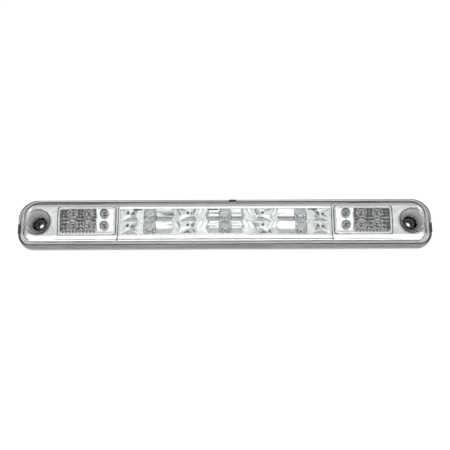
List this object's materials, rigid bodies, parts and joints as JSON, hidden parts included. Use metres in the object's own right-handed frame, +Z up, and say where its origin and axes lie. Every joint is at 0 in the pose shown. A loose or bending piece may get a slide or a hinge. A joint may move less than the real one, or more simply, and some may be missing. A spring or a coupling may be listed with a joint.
{
  "type": "third brake light",
  "caption": "Long low clear-lens third brake light with a faceted stop lamp in the middle, a cargo lamp at each end and recessed screw dishes.",
  "frame": {"origin": "midway between the two mounting screw holes, on the plane where the gasket meets the vehicle", "axes": "+X along the lamp through the two screw holes, +Z up, front of the lens towards -Y"},
  "size_m": [0.52, 0.0497, 0.062],
  "materials": {
    "clear_lens": "gloss",
    "housing_plastic": "satin",
    "bright_metallising": "polished",
    "black_rubber": "matte",
    "foam_gasket": "matte",
    "sealant": "satin",
    "circuit_board": "satin",
    "clear_epoxy": "gloss",
    "tinned_metal": "satin",
    "zinc_steel": "satin",
    "black_component": "matte",
    "natural_nylon": "satin",
    "wire_insulation": "satin"
  },
  "bodies": {
    "root": {"board_header": "natural_nylon", "board_screws": "zinc_steel", "brake_board": "circuit_board", "brake_led_leads": "tinned_metal", "brake_leds": "clear_epoxy", "brake_reflector": "bright_metallising", "breather_cap": "black_component", "cargo_board_left": "circuit_board", "cargo_board_right": "circuit_board", "cargo_frame_left": "bright_metallising", "cargo_frame_right": "bright_metallising", "cargo_led_leads_left": "tinned_metal", "cargo_led_leads_right": "tinned_metal", "cargo_leds_left": "clear_epoxy", "cargo_leds_right": "clear_epoxy", "cargo_reflector_left": "bright_metallising", "cargo_reflector_right": "bright_metallising", "header_pins": "tinned_metal", "inner_bezel": "bright_metallising", "lens_cover": "clear_lens", "lens_seal": "sealant", "link_wires_left": "wire_insulation", "link_wires_right": "wire_insulation", "mounting_gasket": "foam_gasket", "pillar_optic_centre": "clear_lens", "pillar_optic_left": "clear_lens", "pillar_optic_right": "clear_lens", "rear_housing": "housing_plastic", "rectifier_diodes": "black_component", "rim_pads": "black_rubber", "screw_bush_left": "black_rubber", "screw_bush_right": "black_rubber", "surface_resistors": "black_component", "wiring_grommet": "black_rubber"}
  },
  "joints": []
}
